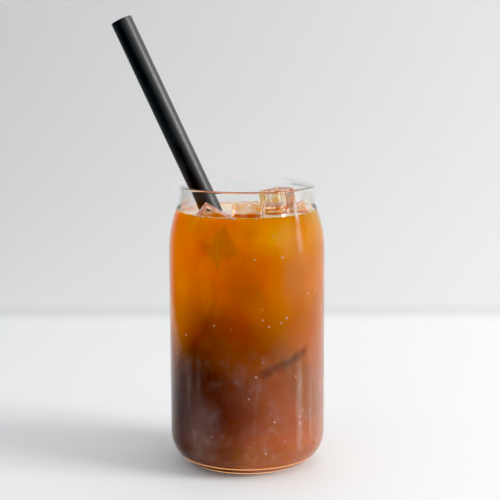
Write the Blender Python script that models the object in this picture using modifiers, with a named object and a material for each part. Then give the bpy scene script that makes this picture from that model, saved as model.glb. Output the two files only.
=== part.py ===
# Iced coffee in a can-shaped glass, with ice cubes that stand out of the drink and a wide black straw.
# Metres, +Z up. The origin is the centre of the flat base, on the glass's axis.

import math

import bmesh
import bpy
from mathutils import Vector, noise

# Glass: a can-shaped glass, 75 mm across and 136 mm tall
HEIGHT = 0.136
BODY_RADIUS = 0.0375
NECK_RADIUS = 0.0329
WALL = 0.0021
FLOOR = 0.0046
HEEL_RADIUS = 0.0152
INNER_HEEL_RADIUS = 0.0128
SHOULDER_RADIUS = 0.062
SHOULDER_START = 0.1035
NECK_FILLET = 0.008
TURN_STEPS = 56

# Drink
LEVEL = 0.1228
MENISCUS = 0.0011
GAP = 0.0003

# Straw
STRAW_RADIUS = 0.0052
STRAW_WALL = 0.0006
STRAW_EDGE = 0.00015
STRAW_TOP = Vector((-0.0598, 0.0148, 0.2136))
STRAW_FOOT = Vector((0.0283, -0.0040, 0.0250))
STRAW_STEPS = 36

# Ice: name, centre, size, and tilt about X, Y and Z in degrees
ICE = (
    ("ice_front_left", (-0.0174, -0.0150, 0.1196), (0.0126, 0.0126, 0.0154), (6, 33, 14)),
    ("ice_middle", (0.0000, -0.0192, 0.1199), (0.0142, 0.0116, 0.0184), (-9, 4, -3)),
    ("ice_front_right", (0.0135, -0.0073, 0.1184), (0.0098, 0.0114, 0.0182), (5, -4, -8)),
    ("ice_right", (0.0257, -0.0012, 0.1208), (0.0092, 0.0104, 0.0132), (4, -24, -4)),
    ("ice_back_right", (0.0159, 0.0158, 0.1222), (0.0141, 0.0140, 0.0196), (-4, -4, 46)),
)
ICE_CUTS = 2
ICE_EDGE = 2.2
ICE_ROUNDING = 0.12
ICE_MELT = 0.0011
ICE_GRAIN = 0.011

ARC_STEPS = 5


def material(name, colour, roughness, alpha=1.0, transmission=0.0):
    made = bpy.data.materials.new(name)
    made.use_nodes = True
    shader = made.node_tree.nodes["Principled BSDF"]
    shader.inputs["Base Color"].default_value = (*colour, 1.0)
    shader.inputs["Roughness"].default_value = roughness
    shader.inputs["Metallic"].default_value = 0.0
    shader.inputs["Alpha"].default_value = alpha
    shader.inputs["Transmission Weight"].default_value = transmission
    return made


def arc(centre_r, centre_z, radius, start, end, steps=ARC_STEPS):
    """Points of an arc in the profile plane, from the start angle to the end angle, in radians."""
    angles = [start + (end - start) * i / steps for i in range(steps + 1)]
    return [(centre_r + radius * math.cos(a), centre_z + radius * math.sin(a)) for a in angles]


def shoulder_centres():
    """The centre of the shoulder's arc, that of the neck's fillet, and the angle at which they meet."""
    shoulder = (BODY_RADIUS - SHOULDER_RADIUS, SHOULDER_START)
    across = NECK_RADIUS + NECK_FILLET - shoulder[0]
    rise = math.sqrt((SHOULDER_RADIUS + NECK_FILLET) ** 2 - across**2)
    return shoulder, (NECK_RADIUS + NECK_FILLET, SHOULDER_START + rise), math.atan2(rise, across)


def wall_line(inset, top):
    """The glass's side from its top down to its heel, inset from the outer surface."""
    shoulder, fillet, meet = shoulder_centres()
    line = [(NECK_RADIUS - inset, top)]
    line += arc(*fillet, NECK_FILLET + inset, math.pi, math.pi + meet, steps=3)
    line += arc(*shoulder, SHOULDER_RADIUS - inset, meet, 0.0)[1:]
    return line


def inner_line(clearance, top):
    """The inside of the glass from its top to the middle of its floor, moved inwards by clearance."""
    inset = WALL + clearance
    corner = INNER_HEEL_RADIUS - clearance
    line = wall_line(inset, top)
    line += arc(BODY_RADIUS - WALL - INNER_HEEL_RADIUS, FLOOR + INNER_HEEL_RADIUS, corner, 0.0, -math.pi / 2)
    return line + [(0.0, FLOOR + clearance)]


def outer_line(top):
    """The outside of the glass from its top to the middle of its base."""
    line = wall_line(0.0, top)
    line += arc(BODY_RADIUS - HEEL_RADIUS, HEEL_RADIUS, HEEL_RADIUS, 0.0, -math.pi / 2)
    return line + [(0.0, 0.0)]


def turned(name, profile, steps, closed=False):
    """A solid of revolution about Z from (radius, height) points that run down the outside."""
    mesh = bpy.data.meshes.new(name)
    count = len(profile)
    edges = [(i, i + 1) for i in range(count - 1)]
    if closed:
        edges.append((count - 1, 0))
    mesh.from_pydata([(r, 0.0, z) for r, z in profile], edges, [])
    obj = bpy.data.objects.new(name, mesh)
    screw = obj.modifiers.new("Turn", "SCREW")
    screw.steps = screw.render_steps = steps
    screw.use_merge_vertices = True
    screw.merge_threshold = 0.00001
    screw.use_smooth_shade = True
    return obj


def make_glass():
    """The lip is a half round, the wall even, and the floor thicker than the wall."""
    lip_centre = HEIGHT - WALL / 2
    lip = arc(NECK_RADIUS - WALL / 2, lip_centre, WALL / 2, math.pi, 0.0, steps=4)
    inside = inner_line(0.0, lip_centre)[::-1]
    outside = outer_line(lip_centre)
    return turned("glass", inside[:-1] + lip + outside[1:], TURN_STEPS)


def drink_radius(height):
    """The radius of the drink at a height in the shoulder."""
    rise = height - SHOULDER_START
    inner = SHOULDER_RADIUS - WALL - GAP
    return BODY_RADIUS - SHOULDER_RADIUS + math.sqrt(inner**2 - rise**2)


def make_drink():
    """The drink fills the glass to its level and climbs the wall a little."""
    edge = LEVEL + MENISCUS
    below = [point for point in inner_line(GAP, HEIGHT) if point[1] < LEVEL - MENISCUS]
    rim_radius = drink_radius(edge)
    curl = [
        (rim_radius - MENISCUS * reach, LEVEL + MENISCUS * rise)
        for reach, rise in ((2.6, 0.0), (1.4, 0.12), (0.6, 0.42), (0.15, 0.85))
    ]
    return turned("coffee", [(0.0, LEVEL), *curl, (rim_radius, edge), *below], TURN_STEPS)


def lean(obj, start, end):
    """Stands an object that runs up Z from the start point to the end point."""
    obj.location = start
    obj.rotation_mode = "QUATERNION"
    obj.rotation_quaternion = (end - start).to_track_quat("Z", "Y")


def tube_profile(grow):
    """The straw's wall, grown on every side, as a closed loop down the outside and up the inside."""
    length = (STRAW_TOP - STRAW_FOOT).length
    outer = STRAW_RADIUS + grow
    inner = STRAW_RADIUS - STRAW_WALL - grow
    low, high = -grow, length + grow
    edge = STRAW_EDGE
    return [
        (outer - edge, high),
        (outer, high - edge),
        (outer, low + edge),
        (outer - edge, low),
        (inner + edge, low),
        (inner, low + edge),
        (inner, high - edge),
        (inner + edge, high),
    ]


def make_straw(name="straw", grow=0.0):
    straw = turned(name, tube_profile(grow), STRAW_STEPS, closed=True)
    lean(straw, STRAW_FOOT, STRAW_TOP)
    return straw


def make_ice(name, centre, size, tilt, seed):
    """A melted cube: rounded edges, bulging faces and uneven sides."""
    form = bmesh.new()
    bmesh.ops.create_cube(form, size=1.0)
    bmesh.ops.subdivide_edges(form, edges=form.edges[:], cuts=ICE_CUTS, use_grid_fill=True)
    noise.seed_set(seed)
    for vert in form.verts:
        point = Vector(a if abs(a) > 0.4 else a * ICE_EDGE for a in vert.co)
        point = point.lerp(point.normalized() * 0.62, ICE_ROUNDING)
        point = Vector(a * b for a, b in zip(point, size))
        vert.co = point + noise.noise_vector(point / ICE_GRAIN) * ICE_MELT
    mesh = bpy.data.meshes.new(name)
    form.to_mesh(mesh)
    form.free()
    mesh.shade_smooth()
    cube = bpy.data.objects.new(name, mesh)
    cube.location = centre
    cube.rotation_euler = [math.radians(angle) for angle in tilt]
    soften = cube.modifiers.new("Soften", "SUBSURF")
    soften.levels = soften.render_levels = 1
    return cube


def cut(body, cutter):
    """Cuts the body by another object, which isn't shown."""
    cutter.hide_render = True
    cutter.display_type = "WIRE"
    boolean = body.modifiers.new("Cut for " + cutter.name, "BOOLEAN")
    boolean.operation = "DIFFERENCE"
    boolean.solver = "EXACT"
    boolean.object = cutter


def grown_copy(obj):
    """A copy that stands proud of the object all round by a little more than GAP."""
    copy = obj.copy()
    copy.name = obj.name + "_pocket"
    grow = copy.modifiers.new("Grow", "DISPLACE")
    grow.strength = GAP * 1.35
    grow.mid_level = 0.0
    return copy


def main():
    for obj in list(bpy.data.objects):
        bpy.data.objects.remove(obj, do_unlink=True)
    parts = bpy.data.collections.new("Iced coffee")
    cutters = bpy.data.collections.new("Cutters")
    bpy.context.scene.collection.children.link(parts)
    bpy.context.scene.collection.children.link(cutters)

    clear_glass = material("clear glass", (0.93, 0.95, 0.95), 0.03, alpha=0.3, transmission=1.0)
    coffee = material("iced coffee", (0.42, 0.13, 0.02), 0.1, alpha=0.92, transmission=0.6)
    clear_ice = material("clear ice", (0.92, 0.90, 0.86), 0.08, alpha=0.5, transmission=1.0)
    black = material("matte black plastic", (0.012, 0.013, 0.014), 0.42)

    drink = make_drink()
    made = [(make_glass(), clear_glass), (drink, coffee), (make_straw(), black)]
    ice = [make_ice(*facts, seed) for seed, facts in enumerate(ICE, start=1)]
    made += [(cube, clear_ice) for cube in ice]
    for obj, finish in made:
        obj.data.materials.append(finish)
        parts.objects.link(obj)

    pockets = [make_straw("straw_pocket", GAP), *(grown_copy(cube) for cube in ice)]
    for pocket in pockets:
        cutters.objects.link(pocket)
        cut(drink, pocket)


main()
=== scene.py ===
import math

import bmesh
import bpy
from mathutils import Matrix, Vector, noise


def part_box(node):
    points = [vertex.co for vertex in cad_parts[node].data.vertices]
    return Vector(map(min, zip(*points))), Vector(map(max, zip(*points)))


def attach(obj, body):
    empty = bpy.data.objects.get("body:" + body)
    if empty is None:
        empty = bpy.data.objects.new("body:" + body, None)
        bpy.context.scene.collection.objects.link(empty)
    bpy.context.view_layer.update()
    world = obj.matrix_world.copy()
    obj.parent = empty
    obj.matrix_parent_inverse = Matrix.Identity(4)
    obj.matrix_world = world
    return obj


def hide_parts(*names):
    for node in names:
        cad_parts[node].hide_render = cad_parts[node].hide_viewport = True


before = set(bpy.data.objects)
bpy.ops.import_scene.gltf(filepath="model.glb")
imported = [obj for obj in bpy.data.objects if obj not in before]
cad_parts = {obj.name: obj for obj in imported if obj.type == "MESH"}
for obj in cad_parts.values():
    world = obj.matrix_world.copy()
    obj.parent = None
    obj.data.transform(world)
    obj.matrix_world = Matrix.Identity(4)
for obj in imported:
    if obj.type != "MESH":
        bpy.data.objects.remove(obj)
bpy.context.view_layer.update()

# The glass is one piece of clear soda-lime glass, blown in a turning mould, so it has no seam. It has a
# short neck, a round shoulder and heel, an even wall, a thicker floor and a fire-polished lip.
glass_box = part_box("glass")
glass_height = glass_box[1].z
box_clearance = 0.00012
body_radius = glass_box[1].x - box_clearance
neck_radius = 0.03285
wall = 0.0021
floor_thickness = 0.0046
flat_middle = 0.012
heel_radius = 0.0152
inner_heel_radius = 0.0128
shoulder_radius = 0.062
shoulder_start = 0.1035
neck_fillet = 0.008
glass_turns = 144


def arc(centre, radius, start, end, steps):
    """Points of an arc in the plane of a turned piece's outline, with the angles in radians."""
    for step in range(steps + 1):
        angle = start + (end - start) * step / steps
        yield (centre[0] + radius * math.cos(angle), centre[1] + radius * math.sin(angle))


def wall_outline(inset, top, inner=False):
    """The side of the glass from the lip to the middle of its floor or base, inset from the outer skin.

    The short steps beside each tangent keep the smooth shading even.
    """
    shoulder = (body_radius - shoulder_radius, shoulder_start)
    across = neck_radius + neck_fillet - shoulder[0]
    rise = math.sqrt((shoulder_radius + neck_fillet) ** 2 - across**2)
    meet = math.atan2(rise, across)
    fillet = (neck_radius + neck_fillet, shoulder_start + rise)
    neck_foot = top - fillet[1] - 0.0004
    line = [(neck_radius - inset, top - drop) for drop in (0.0, 0.0002, 0.0006, 0.0025, neck_foot)]
    line += arc(fillet, neck_fillet + inset, math.pi, math.pi + meet, 8)
    line += list(arc(shoulder, shoulder_radius - inset, meet, 0.0, 16))[1:]
    side_foot = floor_thickness + inner_heel_radius if inner else heel_radius
    side_run = side_foot - shoulder_start
    side_steps = 14
    shares = [0.01, *(step / side_steps for step in range(1, side_steps)), 0.99]
    line += [(body_radius - inset, shoulder_start + side_run * share) for share in shares]
    if inner:
        heel = (body_radius - wall - inner_heel_radius, side_foot)
        line += arc(heel, inner_heel_radius + wall - inset, 0.0, -math.pi / 2, 14)
        return line + [(flat_middle, line[-1][1]), (0.0, line[-1][1])]
    line += arc((body_radius - heel_radius, heel_radius), heel_radius - inset, 0.0, -math.pi / 2, 16)
    return line + [(flat_middle, inset), (0.0, inset)]


def new_object(name, data):
    """An object in the scene for a mesh, a light or a camera."""
    made = bpy.data.objects.new(name, data)
    bpy.context.scene.collection.objects.link(made)
    return made


def mesh_of(form, name):
    """The mesh of a finished bmesh form, which is freed."""
    mesh = bpy.data.meshes.new(name)
    form.to_mesh(mesh)
    form.free()
    return mesh


def turned(name, outline, turns):
    """A mesh piece turned about Z from an outline of (radius, height) points.

    Its faces are added in a fixed order, because a scatter on them with a fixed seed depends on it.
    """
    form = bmesh.new()
    rings = []
    for turn in range(turns):
        across, along = math.cos(math.tau * turn / turns), math.sin(math.tau * turn / turns)
        rings.append([form.verts.new((radius * across, radius * along, z)) for radius, z in outline])
    for ring, following in zip(rings, rings[1:] + rings[:1]):
        for corners in zip(ring, ring[1:], following[1:], following):
            form.faces.new(corners)
    bmesh.ops.remove_doubles(form, verts=form.verts[:], dist=1e-6)
    bmesh.ops.recalc_face_normals(form, faces=form.faces[:])
    mesh = mesh_of(form, name)
    mesh.shade_smooth()
    return new_object(name, mesh)


lip_centre = glass_height - wall / 2
outside = wall_outline(0.0, lip_centre)
inside = wall_outline(wall, lip_centre, inner=True)
lip = list(arc((neck_radius - wall / 2, lip_centre), wall / 2, math.pi, 0.0, 10))[1:-1]
glass = turned("can_glass", inside[::-1] + lip + outside, glass_turns)


def feed(tree, socket, value):
    """Links a socket's value to another socket, or sets that one to a plain value."""
    if isinstance(value, bpy.types.NodeSocket):
        tree.links.new(value, socket)
    else:
        socket.default_value = value


def node(tree, kind, **inputs):
    """Adds a node to a tree and feeds its inputs by name."""
    made = tree.nodes.new(kind)
    for name, value in inputs.items():
        feed(tree, made.inputs[name.replace("_", " ")], value)
    return made


def maths(tree, operation, *values, clamp=False):
    """A Math node on sockets or numbers; gives its output socket."""
    made = tree.nodes.new("ShaderNodeMath")
    made.operation = operation
    made.use_clamp = clamp
    for socket, value in zip(made.inputs, values):
        feed(tree, socket, value)
    return made.outputs[0]


def ramp(tree, value, low, high, out_low=0.0, out_high=1.0):
    """A smooth step of a value from low to high; gives its output socket."""
    made = node(
        tree, "ShaderNodeMapRange", Value=value, From_Min=low, From_Max=high, To_Min=out_low, To_Max=out_high
    )
    made.interpolation_type = "SMOOTHSTEP"
    return made.outputs["Result"]


def noise_at(tree, place, scale, detail=2.0, stretch=(1, 1, 1), distortion=0.0):
    """Noise on a place socket, with features of about 1 / scale metres, stretched along an axis."""
    mapping = node(tree, "ShaderNodeMapping", Vector=place, Scale=stretch)
    made = node(
        tree, "ShaderNodeTexNoise", Vector=mapping.outputs[0], Scale=scale, Detail=detail, Distortion=distortion
    )
    return made.outputs["Fac"]


def mixed(tree, share, first, second):
    """A Mix node between two colours, each a socket or a value; gives its output socket."""
    made = node(tree, "ShaderNodeMix", Factor=share)
    made.data_type = "RGBA"
    for letter, colour in (("A", first), ("B", second)):
        feed(tree, made.inputs[letter], (*colour, 1.0) if isinstance(colour, tuple) else colour)
    return made.outputs["Result"]


def object_place(tree):
    """The Object coordinates in a material, which hold a pattern still on its piece."""
    return tree.nodes.new("ShaderNodeTexCoord").outputs["Object"]


def material(name):
    """A new material, its tree and its Principled BSDF."""
    made = bpy.data.materials.new(name)
    made.use_nodes = True
    return made, made.node_tree, made.node_tree.nodes["Principled BSDF"]


# Mist from the cold drink covers the outside of the glass: little on the left, more towards the foot, and
# most round the right side, where it also paints the pale edge that the glass shows of the bright room.
# Upright bands run in it: some are thicker mist, and those on the right and the bright one on the neck are
# painted highlights of the window. The group is that cover with its painted highlights.
mist = bpy.data.node_groups.new("Mist and painted highlights", "ShaderNodeTree")
mist.interface.new_socket("Upper edge", in_out="INPUT", socket_type="NodeSocketFloat")
for output_name in ("Mist and highlights", "Grain", "Height"):
    mist.interface.new_socket(output_name, in_out="OUTPUT", socket_type="NodeSocketFloat")
mist_in = mist.nodes.new("NodeGroupInput")
mist_out = mist.nodes.new("NodeGroupOutput")
place = object_place(mist)
axes = node(mist, "ShaderNodeSeparateXYZ", Vector=place)
height = axes.outputs["Z"]
below_edge = maths(mist, "SUBTRACT", mist_in.outputs["Upper edge"], height)
towards_front = maths(mist, "MULTIPLY", axes.outputs["Y"], -1.0)
round_angle = maths(mist, "ARCTAN2", axes.outputs["X"], towards_front)
grain = noise_at(mist, place, 2200.0, 2.0)
low_part = ramp(mist, below_edge, 0.040, 0.082)
patches = ramp(mist, noise_at(mist, place, 70.0, 2.0), 0.40, 0.62)
mottle = ramp(mist, noise_at(mist, place, 420.0, 6.0, stretch=(1, 1, 0.6), distortion=0.5), 0.42, 0.68)
blotches = maths(mist, "MULTIPLY", mottle, patches)
haze = maths(mist, "MULTIPLY", low_part, maths(mist, "MULTIPLY_ADD", blotches, 0.10, 0.042))
haze = maths(mist, "MULTIPLY", haze, ramp(mist, round_angle, -1.35, -0.80, 0.25, 1.0))
# Painted light: the thicker mist on the right edge also paints the pale edge where the glass shows the bright
# room.
right_side = 1.62
from_right_edge = maths(mist, "ABSOLUTE", maths(mist, "SUBTRACT", round_angle, right_side))
right_edge = ramp(mist, from_right_edge, 0.05, 0.66, 1.0, 0.0)
right_uneven = ramp(mist, noise_at(mist, place, 85.0, 4.0), 0.30, 0.62, 0.72, 1.12)
right_low = maths(mist, "MULTIPLY", ramp(mist, below_edge, 0.030, 0.095, 0.0, 0.40), right_uneven)
near_top = ramp(mist, below_edge, -0.002, 0.010)
edge_mist_and_bright_edge = maths(mist, "MULTIPLY", maths(mist, "MULTIPLY", right_edge, right_low), near_top)
wander = maths(mist, "MULTIPLY_ADD", noise_at(mist, place, 60.0, 2.0, stretch=(0, 0, 1)), 0.05, -0.025)
wandering_angle = maths(mist, "ADD", round_angle, wander)
fade_share = 0.3
mist_and_highlight_bands = None
# Painted highlights: the bands at 0.715, 0.925, 0.731 and 0.750 round the side stand for the window's
# highlights; the other bands are thicker mist.
for band_angle, band_width, strength, lowest, highest in (
    (0.715, 0.080, 0.20, 0.004, 0.062),
    (0.925, 0.034, 0.13, 0.010, 0.060),
    (-0.830, 0.040, 0.06, 0.028, 0.060),
    (0.750, 0.055, 0.60, 0.1195, 0.133),
    (0.731, 0.070, 0.22, 0.105, 0.122),
    (-0.375, 0.010, 0.14, 0.098, 0.119),
    (0.600, 0.460, 0.050, 0.080, 0.1260),
    (-0.600, 0.360, 0.080, 0.004, 0.042),
    (1.080, 0.340, 0.070, 0.004, 0.070),
):
    from_middle = maths(mist, "ABSOLUTE", maths(mist, "SUBTRACT", wandering_angle, band_angle))
    band = ramp(mist, from_middle, 0.0, band_width, strength, 0.0)
    fade = fade_share * (highest - lowest)
    band = maths(mist, "MULTIPLY", band, ramp(mist, height, lowest, lowest + fade))
    band = maths(mist, "MULTIPLY", band, ramp(mist, height, highest - fade, highest, 1.0, 0.0))
    mist_and_highlight_bands = band if mist_and_highlight_bands is None else maths(mist, "ADD", mist_and_highlight_bands, band)
mist_and_highlights = maths(mist, "ADD", haze, maths(mist, "ADD", edge_mist_and_bright_edge, mist_and_highlight_bands), clamp=True)
for output_name, value in (("Mist and highlights", mist_and_highlights), ("Grain", grain), ("Height", height)):
    mist.links.new(value, mist_out.inputs[output_name])
mist_edge = 0.122


def mist_and_highlights_on(tree):
    """The mist's cover with its painted highlights, placed in a material."""
    made = tree.nodes.new("ShaderNodeGroup")
    made.node_tree = mist
    made.inputs["Upper edge"].default_value = mist_edge
    return made


skin = glass.data.attributes.new("outside", "FLOAT", "POINT")
for vert in glass.data.vertices:
    radial = Vector((vert.co.x, vert.co.y, 0.0))
    facing_out = vert.normal.dot(radial) > 0.0 or vert.normal.z < -0.9
    skin.data[vert.index].value = 1.0 if facing_out else 0.0

clear_glass, tree, shader = material("Clear misted glass with painted foot lines")
shader.inputs["Base Color"].default_value = (0.985, 0.995, 0.99, 1.0)
shader.inputs["Transmission Weight"].default_value = 1.0
shader.inputs["IOR"].default_value = 1.5
shader.inputs["Specular Tint"].default_value = (0.45, 0.45, 0.45, 1.0)
mist_and_highlights = mist_and_highlights_on(tree)
on_outside = node(tree, "ShaderNodeAttribute")
on_outside.attribute_name = "outside"
misted = maths(tree, "MULTIPLY", mist_and_highlights.outputs["Mist and highlights"], on_outside.outputs["Fac"])
low_down = ramp(tree, mist_and_highlights.outputs["Height"], 0.112, 0.124, 1.0, 0.0)
damp = maths(tree, "MULTIPLY", low_down, on_outside.outputs["Fac"])
dull = maths(tree, "MULTIPLY_ADD", damp, 0.10, 0.012)
tree.links.new(maths(tree, "MULTIPLY_ADD", misted, 0.5, dull), shader.inputs["Roughness"])
glass_place = object_place(tree)
grazing = node(tree, "ShaderNodeLayerWeight", Blend=0.5)
in_neck = ramp(tree, mist_and_highlights.outputs["Height"], 0.1235, 0.1265)
edge_share = maths(tree, "MULTIPLY", ramp(tree, grazing.outputs["Facing"], 0.35, 0.9), in_neck)
to_back = node(tree, "ShaderNodeSeparateXYZ", Vector=glass_place).outputs["Y"]
back_lip = maths(
    tree,
    "MULTIPLY",
    ramp(tree, mist_and_highlights.outputs["Height"], 0.1325, 0.1340),
    ramp(tree, to_back, -0.004, 0.008, 0.0, 0.7),
)
cleared = maths(tree, "MAXIMUM", maths(tree, "MULTIPLY", edge_share, 0.85), back_lip)
tree.links.new(maths(tree, "SUBTRACT", 1.0, cleared), shader.inputs["Alpha"])
# Painted light: emission paints two bright orange lines round the foot, at the base and at the floor, where the
# drink shows through the glass.
base_line_height, floor_line_height = 0.0018, 0.0050
from_base_line = maths(tree, "SUBTRACT", mist_and_highlights.outputs["Height"], base_line_height)
from_floor_line = maths(tree, "SUBTRACT", mist_and_highlights.outputs["Height"], floor_line_height)
painted_foot_lines = maths(
    tree,
    "MAXIMUM",
    ramp(tree, maths(tree, "ABSOLUTE", from_base_line), 0.0002, 0.0009, 1.0, 0.0),
    ramp(tree, maths(tree, "ABSOLUTE", from_floor_line), 0.0001, 0.0005, 1.0, 0.0),
)
painted_foot_share = maths(tree, "MULTIPLY", painted_foot_lines, on_outside.outputs["Fac"])
tree.links.new(mixed(tree, painted_foot_share, (0.0, 0.0, 0.0), (0.86, 0.38, 0.14)), shader.inputs["Emission Color"])
shader.inputs["Emission Strength"].default_value = 1.0
ripple = noise_at(tree, glass_place, 55.0, 1.0, stretch=(1, 1, 0.35))
bump = node(tree, "ShaderNodeBump", Height=ripple, Strength=0.25, Distance=0.0006)
tree.links.new(bump.outputs[0], shader.inputs["Normal"])
see_through = node(tree, "ShaderNodeBsdfTransparent", Color=(0.98, 0.985, 0.98, 1.0))
light_path = tree.nodes.new("ShaderNodeLightPath")
lets_light_in = node(tree, "ShaderNodeMixShader")
light_only = maths(tree, "MAXIMUM", light_path.outputs["Is Shadow Ray"], light_path.outputs["Is Diffuse Ray"])
tree.links.new(light_only, lets_light_in.inputs[0])
tree.links.new(shader.outputs[0], lets_light_in.inputs[1])
tree.links.new(see_through.outputs[0], lets_light_in.inputs[2])
tree.links.new(lets_light_in.outputs[0], tree.nodes["Material Output"].inputs["Surface"])
glass.data.materials.append(clear_glass)
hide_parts("glass")
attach(glass, "root")

# The film of mist is water: beads far finer than a millimetre that whiten what is behind them. It is a
# skin on the glass's outside from just under the lip to the heel, and it also carries the painted
# highlights of the window.
film_gap = 0.00003
film_foot, film_top = 0.004, 0.1335
film_side = [point for point in wall_outline(0.0, lip_centre) if film_foot < point[1] < film_top]
film_outline = [(radius + film_gap, z) for radius, z in film_side]
film_outline += [(radius + film_gap / 3, z) for radius, z in film_side[::-1]] + film_outline[:1]
film = turned("mist_film_with_painted_highlights", film_outline, glass_turns)
film_finish, tree, shader = material("Water mist with painted highlights")
shader.inputs["Base Color"].default_value = (0.92, 0.80, 0.73, 1.0)
shader.inputs["Roughness"].default_value = 0.55
mist_and_highlights = mist_and_highlights_on(tree)
speckle = ramp(tree, mist_and_highlights.outputs["Grain"], 0.35, 0.75, 0.6, 1.25)
film_strength = 0.55
speckled = maths(tree, "MULTIPLY", mist_and_highlights.outputs["Mist and highlights"], speckle)
thin = maths(tree, "MULTIPLY", speckled, film_strength, clamp=True)
tree.links.new(thin, shader.inputs["Alpha"])
film.data.materials.append(film_finish)
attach(film, "root")

# Beads of water have run together out of the mist: flat, a few tenths of a millimetre across, most of them
# low on the glass and on its right. They are scattered on the film's face by a rule with a fixed seed.
def geometry_tree(name, start, sizes, end):
    """A Geometry Nodes tree, its input node, its output node and its named size inputs."""
    tree = bpy.data.node_groups.new(name, "GeometryNodeTree")
    tree.interface.new_socket(start, in_out="INPUT", socket_type="NodeSocketGeometry")
    size_inputs = [
        tree.interface.new_socket(size, in_out="INPUT", socket_type="NodeSocketFloat") for size in sizes
    ]
    tree.interface.new_socket(end, in_out="OUTPUT", socket_type="NodeSocketGeometry")
    return tree, tree.nodes.new("NodeGroupInput"), tree.nodes.new("NodeGroupOutput"), size_inputs


def random_value(tree, low, high, seed):
    """A random number for each point, or a random vector between two; gives its output socket."""
    is_vector = isinstance(low, tuple)
    made = tree.nodes.new("FunctionNodeRandomValue")
    made.data_type = "FLOAT_VECTOR" if is_vector else "FLOAT"
    for name, value in (("Min", low), ("Max", high), ("Seed", seed)):
        made.inputs[name].default_value = value
    return made.outputs[0 if is_vector else 1]


def finish_tree(tree, geometry, finish, outlet):
    """Ends a tree: makes its instances real and smooth and gives them their material."""
    real = node(tree, "GeometryNodeRealizeInstances", Geometry=geometry)
    smooth = node(tree, "GeometryNodeSetShadeSmooth", Geometry=real.outputs[0])
    finished = node(tree, "GeometryNodeSetMaterial", Geometry=smooth.outputs[0], Material=finish)
    tree.links.new(finished.outputs[0], outlet.inputs[0])


def make_plain(piece):
    """Puts the plain mesh that a piece's modifiers make in their place, and gives it."""
    made = bpy.data.meshes.new_from_object(piece.evaluated_get(bpy.context.evaluated_depsgraph_get()))
    piece.modifiers.clear()
    piece.data = made
    return made


def grow_from_nodes(piece, tree, values):
    """Runs a Geometry Nodes tree on a piece with input values by identifier, and leaves a plain mesh."""
    grown = piece.modifiers.new("Grown", "NODES")
    grown.node_group = tree
    for socket, value in values.items():
        grown[socket.identifier] = value
    make_plain(piece)


bead_water, tree, shader = material("Bead water")
shader.inputs["Base Color"].default_value = (1.0, 0.93, 0.86, 1.0)
shader.inputs["Transmission Weight"].default_value = 0.35
shader.inputs["IOR"].default_value = 1.33
wet = noise_at(tree, object_place(tree), 300.0, 1.0)
tree.links.new(ramp(tree, wet, 0.3, 0.7, 0.02, 0.10), shader.inputs["Roughness"])

bead_tree, bead_in, bead_out, (bead_density, bead_largest) = geometry_tree(
    "Water beads", "Skin", ("Beads per square metre", "Largest radius"), "Beads"
)
where = bead_tree.nodes.new("GeometryNodeInputPosition")
where = node(bead_tree, "ShaderNodeSeparateXYZ", Vector=where.outputs[0])
lower_share = ramp(bead_tree, where.outputs["Z"], 0.030, 0.115, 1.0, 0.28)
right_share = ramp(bead_tree, where.outputs["X"], -0.030, 0.036, 0.35, 1.0)
share = maths(bead_tree, "MULTIPLY", lower_share, right_share)
scattered = node(
    bead_tree,
    "GeometryNodeDistributePointsOnFaces",
    Mesh=bead_in.outputs["Skin"],
    Density=maths(bead_tree, "MULTIPLY", share, bead_in.outputs["Beads per square metre"]),
    Seed=5,
)
bead_form = node(bead_tree, "GeometryNodeMeshIcoSphere", Radius=1.0, Subdivisions=2)
girth = maths(bead_tree, "POWER", random_value(bead_tree, 0.0, 1.0, 6), 4.0)
least_girth = 0.18
girth = maths(bead_tree, "MULTIPLY_ADD", girth, 1.0 - least_girth, least_girth)
bead_radius = maths(bead_tree, "MULTIPLY", girth, bead_in.outputs["Largest radius"])
bead_length, bead_flatness = 1.15, 0.28
bead_size = node(
    bead_tree,
    "ShaderNodeCombineXYZ",
    X=bead_radius,
    Y=maths(bead_tree, "MULTIPLY", bead_radius, bead_length),
    Z=maths(bead_tree, "MULTIPLY", bead_radius, bead_flatness),
)
beads_placed = node(
    bead_tree,
    "GeometryNodeInstanceOnPoints",
    Points=scattered.outputs["Points"],
    Instance=bead_form.outputs["Mesh"],
    Rotation=scattered.outputs["Rotation"],
    Scale=bead_size.outputs[0],
)
finish_tree(bead_tree, beads_placed.outputs["Instances"], bead_water, bead_out)

skin_gap = 0.00001
bead_foot, bead_top = 0.006, mist_edge - 0.002
bead_skin = [point for point in wall_outline(skin_gap, lip_centre) if bead_foot < point[1] < bead_top]
bead_skin_turns = 72
water_beads = turned("water_beads", bead_skin, bead_skin_turns)
grow_from_nodes(water_beads, bead_tree, {bead_density: 42000.0, bead_largest: 0.00042})
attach(water_beads, "root")

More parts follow.
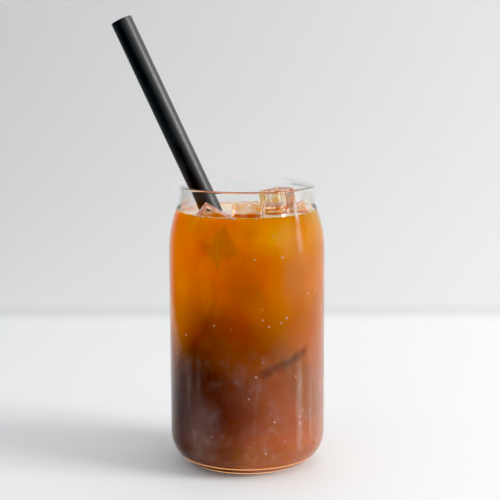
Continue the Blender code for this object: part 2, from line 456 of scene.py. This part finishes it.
# The ice cubes that break the surface came out of a tray and have melted: their faces are hollow and
# rippled, and their edges round and frosted, with painted white glints on them. Each follows its own solid,
# made finer.
def finer_ice(name, cad_name):
    """A smooth, finer copy of a cube's solid, with the shallow hollows that melting leaves."""
    form = bmesh.new()
    form.from_mesh(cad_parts[cad_name].data)
    bmesh.ops.remove_doubles(form, verts=form.verts[:], dist=1e-6)
    cube = new_object(name, mesh_of(form, name))
    finer = cube.modifiers.new("Finer", "SUBSURF")
    finer.levels = finer.render_levels = 2
    smooth = make_plain(cube)
    hollow_size = 0.0045
    hollow_depth = 0.00022
    placed = [(vert.co.copy(), vert.normal.copy()) for vert in smooth.vertices]
    for vert, (point, normal) in zip(smooth.vertices, placed):
        depth = noise.noise(point / hollow_size) + 0.5 * noise.noise(point / hollow_size * 2.3)
        vert.co = point - normal * (0.5 + depth) * hollow_depth
    bends = [0.0] * len(placed)
    for edge in smooth.edges:
        first, second = edge.vertices
        bend = placed[first][1].angle(placed[second][1], 0.0)
        bends[first] = max(bends[first], bend)
        bends[second] = max(bends[second], bend)
    smooth.attributes.new("edge", "FLOAT", "POINT").data.foreach_set("value", bends)
    smooth.shade_smooth()
    return cube


def vector_maths(tree, operation, *values):
    """A Vector Math node on sockets or vectors; gives the node, which puts out a vector or a value."""
    made = tree.nodes.new("ShaderNodeVectorMath")
    made.operation = operation
    for socket, value in zip(made.inputs, values):
        feed(tree, socket, value)
    return made


def colour_ramp(tree, share, first, second, start=0.0, end=1.0):
    """A colour ramp from the first colour to the second; gives the node."""
    made = node(tree, "ShaderNodeValToRGB", Fac=share)
    for element, position, colour in zip(made.color_ramp.elements, (start, end), (first, second)):
        element.position = position
        element.color = (*colour, 1.0)
    return made


clear_ice, tree, shader = material("Clear wet ice with painted glints")
shader.inputs["Transmission Weight"].default_value = 0.9
shader.inputs["IOR"].default_value = 1.31
place = object_place(tree)
stain_and_painted_refraction = noise_at(tree, place, 210.0, 2.0, distortion=0.8)
# Painted refraction: three spots on the faces are painted orange where the drink shows through the ice; the
# rest of the orange stain lies at random.
for painted_refraction_spot in ((-0.0215, -0.0180, 0.1243), (0.0130, -0.0090, 0.1255), (0.0265, -0.0030, 0.1250)):
    apart = vector_maths(tree, "DISTANCE", place, painted_refraction_spot).outputs["Value"]
    stain_and_painted_refraction = maths(tree, "MAXIMUM", stain_and_painted_refraction, ramp(tree, apart, 0.0025, 0.0050, 0.66, 0.0))
stain_and_refraction_ramp = colour_ramp(tree, stain_and_painted_refraction, (1.0, 0.995, 0.98), (1.0, 0.55, 0.17), 0.40, 0.60)
tree.links.new(stain_and_refraction_ramp.outputs[0], shader.inputs["Base Color"])
on_edge = node(tree, "ShaderNodeAttribute")
on_edge.attribute_name = "edge"
broken = ramp(tree, noise_at(tree, place, 330.0, 3.0), 0.38, 0.60)
frost_and_painted_glints = maths(tree, "MULTIPLY", ramp(tree, on_edge.outputs["Fac"], 0.07, 0.20), broken)
dull = ramp(tree, noise_at(tree, place, 160.0, 3.0), 0.35, 0.75, 0.02, 0.16)
tree.links.new(maths(tree, "MULTIPLY_ADD", frost_and_painted_glints, 0.35, dull), shader.inputs["Roughness"])
# Painted glints: emission paints white glints along the frosted edges.
tree.links.new(mixed(tree, frost_and_painted_glints, (0.0, 0.0, 0.0), (0.42, 0.39, 0.35)), shader.inputs["Emission Color"])
shader.inputs["Emission Strength"].default_value = 1.0
crackle = node(tree, "ShaderNodeTexVoronoi", Vector=place, Scale=260.0)
relief = maths(tree, "MULTIPLY_ADD", crackle.outputs["Distance"], 0.4, noise_at(tree, place, 220.0, 3.0))
bump = node(tree, "ShaderNodeBump", Height=relief, Strength=0.5, Distance=0.0009)
tree.links.new(bump.outputs[0], shader.inputs["Normal"])
ice_names = sorted(name[4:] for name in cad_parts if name.startswith("ice_"))
floating_ice = []
for name in ice_names:
    cube = finer_ice("cube_" + name, "ice_" + name)
    cube.data.materials.append(clear_ice)
    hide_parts("ice_" + name)
    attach(cube, "root")
    floating_ice.append(cube)

# More cubes lie sunk under them, packed from the surface down, deeper on the right than on the left.
# They are placed by a rule and kept clear of the straw, the wall and one another.
straw_foot = Vector((0.0283, -0.0040, 0.0250))
straw_head = Vector((-0.0598, 0.0148, 0.2136))
straw_line = (straw_head - straw_foot).normalized()
straw_radius = 0.0052


def clear_of_straw(point, room):
    """Whether a point is further from the straw's side than the room it needs."""
    along = straw_line * (point - straw_foot).dot(straw_line)
    return (point - straw_foot - along).length > straw_radius + room


sunk_size = 0.0165
layer_heights = (0.0960, 0.0770, 0.0580)
ring_radius = 0.0225
cubes_in_ring = 6
ring_start = 0.35
ring_wave = 0.0022
middle_depth, depth_slope = 0.062, 0.5
straw_room = 0.62 * sunk_size
seats = []
for layer, layer_height in enumerate(layer_heights):
    for i in range(cubes_in_ring):
        angle = math.tau * (i + 0.5 * layer) / cubes_in_ring + ring_start
        spot = Vector((ring_radius * math.cos(angle), ring_radius * math.sin(angle), layer_height))
        spot.z += ring_wave * math.sin(3.0 * angle + layer)
        lowest_here = middle_depth - depth_slope * spot.x
        if spot.z > lowest_here and clear_of_straw(spot, straw_room):
            seats.append(spot)
seat_mesh = bpy.data.meshes.new("sunk_seats")
seat_mesh.from_pydata(seats, [], [])
sunk_ice = new_object("sunk_ice", seat_mesh)

packing, pack_in, pack_out, (cube_size, melt_depth) = geometry_tree(
    "Sunk ice", "Seats", ("Cube size", "Melt depth"), "Ice"
)
side = pack_in.outputs["Cube size"]
sides = node(packing, "ShaderNodeCombineXYZ", X=side, Y=side, Z=side)
block = node(
    packing, "GeometryNodeMeshCube", Size=sides.outputs[0], Vertices_X=4, Vertices_Y=4, Vertices_Z=4
)
rounded = node(packing, "GeometryNodeSubdivisionSurface", Mesh=block.outputs["Mesh"], Level=2)
sunk_seed = 11
cubes_placed = node(
    packing,
    "GeometryNodeInstanceOnPoints",
    Points=pack_in.outputs["Seats"],
    Instance=rounded.outputs["Mesh"],
    Rotation=random_value(packing, (-0.35, -0.35, 0.0), (0.35, 0.35, math.tau), sunk_seed),
    Scale=random_value(packing, (0.86, 0.86, 0.92), (1.0, 1.0, 1.08), sunk_seed + 1),
)
cubes_real = node(packing, "GeometryNodeRealizeInstances", Geometry=cubes_placed.outputs["Instances"])
where = packing.nodes.new("GeometryNodeInputPosition")
hollows = node(packing, "ShaderNodeTexNoise", Vector=where.outputs[0], Scale=140.0, Detail=1.0)
outwards = packing.nodes.new("GeometryNodeInputNormal")
inwards = vector_maths(packing, "SCALE", outwards.outputs[0])
depth = maths(packing, "MULTIPLY", hollows.outputs["Fac"], pack_in.outputs["Melt depth"])
packing.links.new(depth, inwards.inputs["Scale"])
melted = node(
    packing, "GeometryNodeSetPosition", Geometry=cubes_real.outputs[0], Offset=inwards.outputs[0]
)
finish_tree(packing, melted.outputs[0], clear_ice, pack_out)

melt = -0.0024
grow_from_nodes(sunk_ice, packing, {cube_size: sunk_size, melt_depth: melt})
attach(sunk_ice, "root")

# The drink is black coffee with a little cloud in it: amber where the ice thins it, red-brown below. Its
# colour holds painted light too: painted shade on the left and light towards the window on the right, a
# painted glow in the thin top, painted bounce light and a bright band at the foot, and a painted reflection
# on the surface. It fills the glass to its level, wets the wall a little higher, and has a hollow for each
# piece of ice.
coffee_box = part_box("coffee")
wetting_height = 0.0011
level = coffee_box[1].z - wetting_height
into_wall = 0.00012
coffee_turns = 144
side_line = wall_outline(wall - into_wall, lip_centre, inner=True)
side_line = [point for point in side_line if point[1] < level - wetting_height]


def inner_radius(z):
    """The radius of the coffee's side at a height in the shoulder."""
    reach = shoulder_radius - wall + into_wall
    return body_radius - shoulder_radius + math.sqrt(reach**2 - (z - shoulder_start) ** 2)


wet_edge = level + wetting_height
edge_radius = inner_radius(wet_edge)
curl_width = 0.0032
curl_steps = 8
surface_line = [(ring, level) for ring in (0.0, 0.011, 0.022)]
for i in range(curl_steps + 1):
    share = i / curl_steps
    surface_line.append((edge_radius - curl_width * (1 - share), level + wetting_height * share**3))
coffee = turned("iced_coffee", surface_line + side_line, coffee_turns)

overlap = 0.00015
hollow_form = bmesh.new()
for cube in (*floating_ice, sunk_ice):
    hollow_form.from_mesh(cube.data)
bmesh.ops.remove_doubles(hollow_form, verts=hollow_form.verts[:], dist=1e-7)
hollow_form.normal_update()
for vert in hollow_form.verts:
    vert.co -= vert.normal * overlap
ice_hollows = new_object("ice_hollows", mesh_of(hollow_form, "ice_hollows"))
cut = coffee.modifiers.new("Ice hollows", "BOOLEAN")
cut.operation = "DIFFERENCE"
cut.solver = "MANIFOLD"
cut.object = ice_hollows
cut_mesh = make_plain(coffee)
cut_mesh.shade_smooth()
cut_mesh.set_sharp_from_angle(angle=math.radians(35))
bpy.data.objects.remove(ice_hollows)

cold_coffee, tree, shader = material("Cold coffee with painted light")
shader.inputs["Transmission Weight"].default_value = 0.44
shader.inputs["Subsurface Weight"].default_value = 1.0
shader.inputs["Subsurface Radius"].default_value = (1.0, 0.35, 0.05)
shader.inputs["Subsurface Scale"].default_value = 0.02
shader.inputs["IOR"].default_value = 1.34
shader.inputs["Roughness"].default_value = 0.14
shader.inputs["Specular Tint"].default_value = (0.3, 0.3, 0.3, 1.0)
shader.inputs["Emission Strength"].default_value = 1.0
place = object_place(tree)
axes = node(tree, "ShaderNodeSeparateXYZ", Vector=place)
cloud = maths(tree, "MULTIPLY_ADD", noise_at(tree, place, 38.0, 3.0, distortion=0.5), 0.024, -0.012)
left_rise = ramp(tree, axes.outputs["X"], -0.036, -0.022, 0.011, -0.006)
left_rise = maths(tree, "ADD", left_rise, ramp(tree, axes.outputs["X"], -0.018, 0.006, 0.0, 0.004))
uneven_height = maths(tree, "ADD", maths(tree, "ADD", axes.outputs["Z"], cloud), left_rise)
# Lighter towards the top: partly the drink thinned by the ice, partly painted light where the thin top glows;
# palest just under the surface.
thinned_and_lit_top = ramp(tree, uneven_height, 0.045, 0.098)
# Painted shade: low down the drink is painted dark on the left and lighter towards the window on the right; in
# the thin top the left is brighter.
painted_side_light = ramp(tree, maths(tree, "ADD", axes.outputs["X"], cloud), -0.022, 0.034)
strong_and_side_lit = mixed(tree, painted_side_light, (0.095, 0.026, 0.010), (0.64, 0.20, 0.060))
weak_and_side_lit = mixed(tree, painted_side_light, (1.0, 0.34, 0.0), (0.86, 0.28, 0.012))
tint = mixed(tree, thinned_and_lit_top, strong_and_side_lit, weak_and_side_lit)
palest = mixed(tree, painted_side_light, (1.0, 0.38, 0.0), (0.85, 0.40, 0.012))
tint = mixed(tree, ramp(tree, axes.outputs["Z"], 0.095, 0.117), tint, palest)
# Painted bounce light: the drink is painted lighter near the floor, more on the right.
painted_floor_bounce = maths(tree, "MINIMUM", maths(tree, "MULTIPLY_ADD", painted_side_light, 1.2, 0.15), 0.65)
painted_floor_bounce = maths(tree, "MULTIPLY", painted_floor_bounce, ramp(tree, axes.outputs["Z"], 0.005, 0.030, 1.0, 0.0))
tint = mixed(tree, painted_floor_bounce, tint, (0.88, 0.32, 0.10))
lumps = noise_at(tree, place, 95.0, 2.0, stretch=(1, 1, 0.55), distortion=0.3)
lumps = maths(tree, "MULTIPLY", ramp(tree, lumps, 0.30, 0.68, 0.0, 0.30), thinned_and_lit_top)
tint = mixed(tree, lumps, tint, (0.50, 0.12, 0.0))
towards_front = maths(tree, "MULTIPLY", axes.outputs["Y"], -1.0)
unrolled_radius = 0.035
round_angle = maths(tree, "ARCTAN2", axes.outputs["X"], towards_front)
round_side = maths(tree, "MULTIPLY", round_angle, unrolled_radius)
unrolled = node(tree, "ShaderNodeCombineXYZ", X=round_side, Y=axes.outputs["Z"])
# Sunk ice thins the drink in places and shades it in others, here on its side as if unrolled.
for spot_round, spot_height, reach_round, reach_up, strength, colour in (
    (-0.0202, 0.1102, 0.0060, 0.0055, 0.40, (0.36, 0.12, 0.0)),
    (-0.0010, 0.0945, 0.0120, 0.0150, 0.34, (0.42, 0.10, 0.0)),
    (0.0150, 0.1148, 0.0140, 0.0100, 0.60, (1.0, 0.60, 0.07)),
    (-0.0385, 0.1040, 0.0110, 0.0200, 0.40, (1.0, 0.42, 0.0)),
    (-0.0190, 0.0880, 0.0045, 0.0120, 0.35, (1.0, 0.42, 0.0)),
    (-0.0330, 0.0910, 0.0060, 0.0120, 0.40, (1.0, 0.46, 0.0)),
    (-0.0370, 0.0250, 0.0100, 0.0350, 0.60, (0.02, 0.0, 0.0)),
):
    offset = node(
        tree,
        "ShaderNodeMapping",
        Vector=unrolled.outputs[0],
        Location=(-spot_round / reach_round, -spot_height / reach_up, 0),
        Scale=(1 / reach_round, 1 / reach_up, 1),
    )
    apart = vector_maths(tree, "LENGTH", offset.outputs[0]).outputs["Value"]
    ragged = maths(tree, "MULTIPLY_ADD", noise_at(tree, place, 130.0, 3.0), 0.9, -0.45)
    in_patch = ramp(tree, maths(tree, "ADD", apart, ragged), 0.1, 1.1, strength, 0.0)
    tint = mixed(tree, in_patch, tint, colour)
# The shade of the straw's foot slants up to the right, low on the right side.
shade_start = Vector((0.0075, 0.0515, 0.0))
shade_run = Vector((0.0290, 0.0600, 0.0)) - shade_start
from_start = vector_maths(tree, "SUBTRACT", unrolled.outputs[0], shade_start).outputs["Vector"]
along = vector_maths(tree, "DOT_PRODUCT", from_start, shade_run / shade_run.length_squared)
nearest = vector_maths(tree, "SCALE", shade_run)
tree.links.new(maths(tree, "MULTIPLY", along.outputs["Value"], 1.0, clamp=True), nearest.inputs["Scale"])
off_line = vector_maths(tree, "DISTANCE", from_start, nearest.outputs["Vector"])
ragged = maths(tree, "MULTIPLY_ADD", noise_at(tree, place, 260.0, 3.0), 0.0034, -0.0017)
in_shade = ramp(tree, maths(tree, "ADD", off_line.outputs["Value"], ragged), 0.0002, 0.0036, 0.55, 0.0)
tint = mixed(tree, in_shade, tint, (0.05, 0.01, 0.004))
# Painted reflection: where the surface would mirror the pale room at a grazing look it is painted pale and
# glows, deeper in colour towards the near wall. Where the drink rises on the wall it is painted darker at
# the front and pale at the back.
across = node(tree, "ShaderNodeCombineXYZ", X=axes.outputs["X"], Y=axes.outputs["Y"])
reach = vector_maths(tree, "LENGTH", across.outputs[0])
inside_wall = ramp(tree, reach.outputs["Value"], edge_radius - 0.0012, edge_radius - 0.0002, 1.0, 0.0)
near_level = ramp(tree, axes.outputs["Z"], level - 0.0035, level - 0.0002, 0.0, 0.88)
painted_surface_reflection = maths(tree, "MULTIPLY", inside_wall, near_level)
grazing = node(tree, "ShaderNodeLayerWeight", Blend=0.5)
painted_surface_reflection = maths(tree, "MULTIPLY", painted_surface_reflection, ramp(tree, grazing.outputs["Facing"], 0.42, 0.80, 0.12, 1.0))
towards_wall = ramp(tree, towards_front, 0.008, 0.030)
tint = mixed(tree, painted_surface_reflection, tint, mixed(tree, towards_wall, (1.0, 0.90, 0.78), (1.0, 0.72, 0.46)))
wet_rise = ramp(tree, axes.outputs["Z"], level, level + 0.0005, 0.0, 0.8)
tint = mixed(tree, maths(tree, "MULTIPLY", wet_rise, towards_wall), tint, (0.50, 0.17, 0.06))
back_rise = ramp(tree, axes.outputs["Z"], level, level + 0.0004)
at_back = ramp(tree, axes.outputs["Y"], 0.0, 0.01)
tint = mixed(tree, maths(tree, "MULTIPLY", back_rise, at_back), tint, (1.0, 0.88, 0.74))
# Painted light: a brighter orange band just above the glass's floor.
painted_foot_band = ramp(tree, axes.outputs["Z"], 0.0048, 0.0064, 0.15, 0.0)
tint = mixed(tree, painted_foot_band, tint, (1.0, 0.40, 0.12))
tree.links.new(tint, shader.inputs["Base Color"])
# Painted glow: emission makes the thin top glow, most on the left, and the surface glow where its reflection is
# painted.
lit_left = ramp(tree, axes.outputs["X"], -0.034, 0.024, 1.0, 0.38)
glow = mixed(tree, maths(tree, "MULTIPLY", thinned_and_lit_top, lit_left), (0.0, 0.0, 0.0), (0.205, 0.060, 0.0))
painted_surface_glow = mixed(tree, towards_wall, (0.20, 0.15, 0.11), (0.16, 0.09, 0.045))
glow = mixed(tree, painted_surface_reflection, glow, painted_surface_glow)
tree.links.new(glow, shader.inputs["Emission Color"])
absorbs = node(tree, "ShaderNodeVolumeAbsorption", Color=(0.985, 0.60, 0.0, 1.0), Density=100.0)
tree.links.new(absorbs.outputs[0], tree.nodes["Material Output"].inputs["Volume"])
cut_mesh.materials.clear()
cut_mesh.materials.append(cold_coffee)
for polygon in cut_mesh.polygons:
    polygon.material_index = 0
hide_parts("coffee")
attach(coffee, "root")

# Small bubbles sit at the drink's edge, close together along the front left and a few elsewhere. They are
# thin skins of drink with air in them, set round the wetting line by a rule with a fixed seed.
bubble_skin, tree, shader = material("Bubble skin")
shader.inputs["Transmission Weight"].default_value = 0.45
shader.inputs["IOR"].default_value = 1.2
shader.inputs["Roughness"].default_value = 0.12
shade = colour_ramp(
    tree, noise_at(tree, object_place(tree), 700.0), (0.92, 0.74, 0.56), (1.0, 0.93, 0.86)
)
tree.links.new(shade.outputs[0], shader.inputs["Base Color"])

bubble_tree, bubble_in, bubble_out, (bubble_largest,) = geometry_tree(
    "Edge bubbles", "Line", ("Largest radius",), "Bubbles"
)
where = bubble_tree.nodes.new("GeometryNodeInputPosition")
where = node(bubble_tree, "ShaderNodeSeparateXYZ", Vector=where.outputs[0])
cluster_place = -0.0155
from_cluster = maths(bubble_tree, "SUBTRACT", where.outputs["X"], cluster_place)
in_cluster = ramp(bubble_tree, maths(bubble_tree, "ABSOLUTE", from_cluster), 0.007, 0.014, 1.0, 0.14)
at_front = maths(bubble_tree, "LESS_THAN", where.outputs["Y"], 0.0)
least_chance = 0.12
chance = maths(bubble_tree, "MAXIMUM", maths(bubble_tree, "MULTIPLY", in_cluster, at_front), least_chance)
bubble_form = node(bubble_tree, "GeometryNodeMeshIcoSphere", Radius=1.0, Subdivisions=2)
girth = random_value(bubble_tree, 0.45, 1.0, 22)
bubbles_placed = node(
    bubble_tree,
    "GeometryNodeInstanceOnPoints",
    Points=bubble_in.outputs["Line"],
    Selection=maths(bubble_tree, "LESS_THAN", random_value(bubble_tree, 0.0, 1.0, 21), chance),
    Instance=bubble_form.outputs["Mesh"],
    Scale=maths(bubble_tree, "MULTIPLY", girth, bubble_in.outputs["Largest radius"]),
)
finish_tree(bubble_tree, bubbles_placed.outputs["Instances"], bubble_skin, bubble_out)

bubble_spots = 210
ring_wander = 0.0001
below_wet_edge = 0.0003
bubble_ring = []
for i in range(bubble_spots):
    angle = math.tau * i / bubble_spots
    ring_reach = edge_radius - ring_wander * (1 + math.sin(i * 2.4))
    bubble_ring.append((ring_reach * math.cos(angle), ring_reach * math.sin(angle), wet_edge - below_wet_edge))
bubble_line = bpy.data.meshes.new("bubble_line")
bubble_line.from_pydata(bubble_ring, [], [])
edge_bubbles = new_object("edge_bubbles", bubble_line)
grow_from_nodes(edge_bubbles, bubble_tree, {bubble_largest: 0.00060})
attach(edge_bubbles, "root")

# The straw is a wide tube of matte black plastic, extruded and cut square, with a softly rounded edge.
# It leans on the lip and its foot is in the drink.
straw_wall = 0.0006
straw_edge = 0.00018
straw_length = (straw_head - straw_foot).length
outer, inner = straw_radius, straw_radius - straw_wall
outline = []
for corner_radius, corner_height, start in (
    (outer - straw_edge, straw_length - straw_edge, 0.5),
    (outer - straw_edge, straw_edge, 0.0),
    (inner + straw_edge, straw_edge, -0.5),
    (inner + straw_edge, straw_length - straw_edge, -1.0),
):
    outline += arc((corner_radius, corner_height), straw_edge, math.pi * start, math.pi * (start - 0.5), 4)
straw_turns = 96
straw = turned("black_straw", outline + outline[:1], straw_turns)
straw.data.transform(Matrix.Translation(straw_foot) @ straw_line.to_track_quat("Z", "Y").to_matrix().to_4x4())
matte_black, tree, shader = material("Matte black plastic")
shader.inputs["Specular IOR Level"].default_value = 0.7
place = object_place(tree)
polish = noise_at(tree, place, 900.0, 3.0)
tree.links.new(ramp(tree, polish, 0.3, 0.7, 0.34, 0.44), shader.inputs["Roughness"])
shade = colour_ramp(tree, noise_at(tree, place, 120.0, 2.0), (0.046, 0.047, 0.047), (0.060, 0.061, 0.062))
tree.links.new(shade.outputs[0], shader.inputs["Base Color"])
grit = noise_at(tree, place, 3500.0, 2.0)
bump = node(tree, "ShaderNodeBump", Height=grit, Strength=0.15, Distance=0.0002)
tree.links.new(bump.outputs[0], shader.inputs["Normal"])
straw.data.materials.append(matte_black)
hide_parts("straw")
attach(straw, "root")

# The table is a plain white board, and a plain pale wall close behind it rises from it in a small cove,
# whose paint is a little darker as painted shade.
# Both are one sheet, which is clear when seen from behind.
table_top = -0.0002
stage_left, stage_right = -0.28, 1.5
stage_front = -0.30
wall_place = 0.315
wall_height = 2.0
cove_radius = 0.008
cove_steps = 12
profile = [(stage_front, table_top)]
cove_centre = (wall_place - cove_radius, table_top + cove_radius)
profile += arc(cove_centre, cove_radius, -math.pi / 2, 0.0, cove_steps)
profile.append((wall_place, wall_height))
stage_mesh = bpy.data.meshes.new("stage")
stage_mesh.from_pydata(
    [(side, run, rise) for run, rise in profile for side in (stage_left, stage_right)],
    [],
    [(2 * i, 2 * i + 1, 2 * i + 3, 2 * i + 2) for i in range(len(profile) - 1)],
)
stage_mesh.shade_smooth()
stage = new_object("stage", stage_mesh)
paint, tree, shader = material("Stage paint with painted cove shade")
paint_change = 0.014
axes = node(tree, "ShaderNodeSeparateXYZ", Vector=object_place(tree))
rise = node(tree, "ShaderNodeMapRange", Value=axes.outputs["Z"], From_Min=0.0, From_Max=paint_change)
shade = colour_ramp(tree, rise.outputs["Result"], (0.895, 0.90, 0.905), (0.93, 0.935, 0.94))
# Painted shade: the cove is painted a little darker than the table and the wall.
for step, grey in ((0.20, 0.88), (0.55, 0.87), (0.85, 0.90)):
    shade.color_ramp.elements.new(step).color = (grey, grey * 1.005, grey * 1.01, 1.0)
tree.links.new(shade.outputs[0], shader.inputs["Base Color"])
shader.inputs["Roughness"].default_value = 0.6
back_clear = node(tree, "ShaderNodeMixShader")
tree.links.new(tree.nodes.new("ShaderNodeNewGeometry").outputs["Backfacing"], back_clear.inputs[0])
tree.links.new(shader.outputs[0], back_clear.inputs[1])
tree.links.new(tree.nodes.new("ShaderNodeBsdfTransparent").outputs[0], back_clear.inputs[2])
tree.links.new(back_clear.outputs[0], tree.nodes["Material Output"].inputs["Surface"])
stage_mesh.materials.append(paint)

# A window to the right and a little in front gives the key light; the room's light fills the rest.
window_direction = Vector((0.93, -0.30, 0.80)).normalized()
window_distance = 1.5
window_light = bpy.data.lights.new("window", "AREA")
window_light.shape = "RECTANGLE"
window_light.size = 0.5
window_light.size_y = 0.6
window_light.energy = 11.0
window_light.color = (1.0, 0.985, 0.96)
window_lamp = new_object("window", window_light)
window_lamp.location = window_direction * window_distance
window_lamp.rotation_euler = window_direction.to_track_quat("Z", "Y").to_euler()
room = bpy.data.worlds.new("room")
room.use_nodes = True
room_tree = room.node_tree
towards = room_tree.nodes.new("ShaderNodeTexCoord").outputs["Generated"]
towards = node(room_tree, "ShaderNodeSeparateXYZ", Vector=towards)
from_above = ramp(room_tree, towards.outputs["Z"], 0.1, 0.8, 0.0, 0.42)
from_right = ramp(room_tree, towards.outputs["X"], -0.2, 0.9, 0.0, 0.19)
from_left = ramp(room_tree, towards.outputs["X"], -0.85, -0.30, 0.62, 1.0)
all_round = ramp(room_tree, towards.outputs["Y"], -0.95, -0.45, 0.06, 0.49)
all_round = maths(room_tree, "MULTIPLY", all_round, from_left)
glow = maths(room_tree, "ADD", maths(room_tree, "ADD", from_above, from_right), all_round)
plain_grey = 0.6
seen = room_tree.nodes.new("ShaderNodeLightPath").outputs["Is Camera Ray"]
glow = maths(room_tree, "MAXIMUM", glow, maths(room_tree, "MULTIPLY", seen, plain_grey))
background = room_tree.nodes["Background"]
background.inputs["Color"].default_value = (0.95, 0.975, 1.0, 1.0)
room_tree.links.new(glow, background.inputs["Strength"])
bpy.context.scene.world = room

# The camera stands in front, a little above the rim, and looks down on the glass by some nine degrees.
focal_length_in_pixels = 1368.0
picture_width_in_pixels = 500.0
camera_place = (0.00154, -0.650, 0.211)
look_down = math.radians(9.34)
roll = math.radians(-0.20)
camera_data = bpy.data.cameras.new("camera")
camera_data.sensor_width = 36.0
camera_data.lens = camera_data.sensor_width * focal_length_in_pixels / picture_width_in_pixels
camera = new_object("camera", camera_data)
camera.matrix_world = (
    Matrix.Translation(camera_place)
    @ Matrix.Rotation(math.radians(90) - look_down, 4, "X")
    @ Matrix.Rotation(roll, 4, "Z")
)
scene = bpy.context.scene
scene.camera = camera
scene.view_settings.view_transform = "Standard"
scene.view_settings.use_curve_mapping = True
scene.view_settings.curve_mapping.black_level = (0.038, 0.038, 0.038)
scene.cycles.max_bounces = 24
scene.cycles.transmission_bounces = 20
scene.cycles.transparent_max_bounces = 24
scene.cycles.caustics_refractive = False
scene.cycles.caustics_reflective = False
